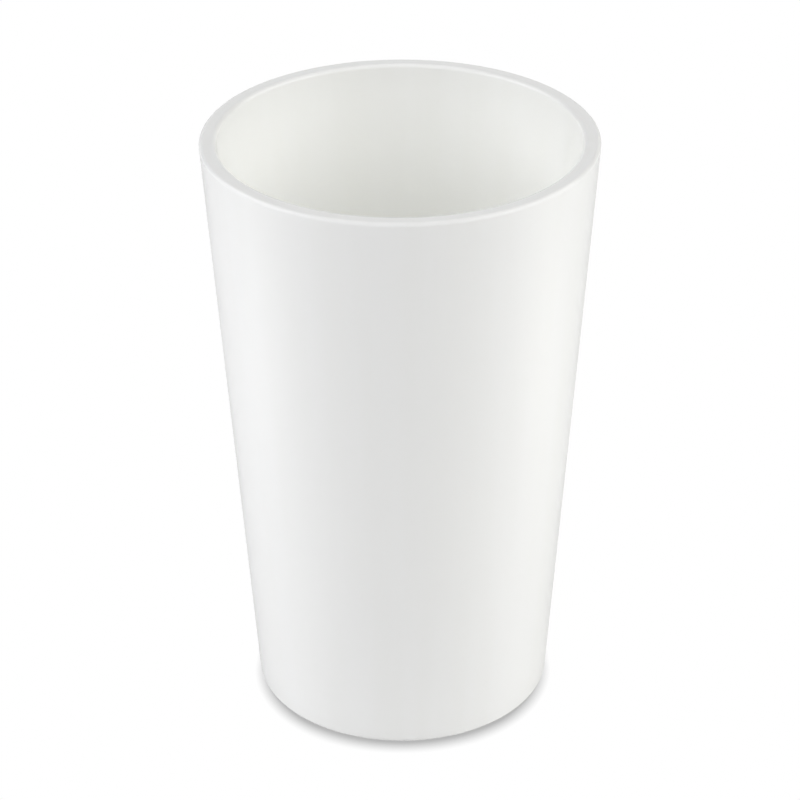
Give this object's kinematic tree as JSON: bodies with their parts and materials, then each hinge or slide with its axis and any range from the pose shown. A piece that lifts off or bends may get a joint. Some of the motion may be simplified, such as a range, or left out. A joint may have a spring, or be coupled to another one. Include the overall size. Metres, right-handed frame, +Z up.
{
  "type": "plastic cup",
  "caption": "Round drinking cup with a thick straight wall that widens from the table to a flat-topped rim, open at the top, standing on a shallow foot ring.",
  "frame": {"origin": "centre of the circle that the cup stands on, at table level", "axes": "+Z up along the cup's axis, from the table to the rim; X and Y level, and alike because the cup is round"},
  "size_m": [0.0798, 0.0798, 0.125],
  "materials": {
    "white_plastic": "glossy opaque white injection-moulded plastic"
  },
  "bodies": {
    "root": {"cup": "white_plastic"}
  },
  "joints": []
}
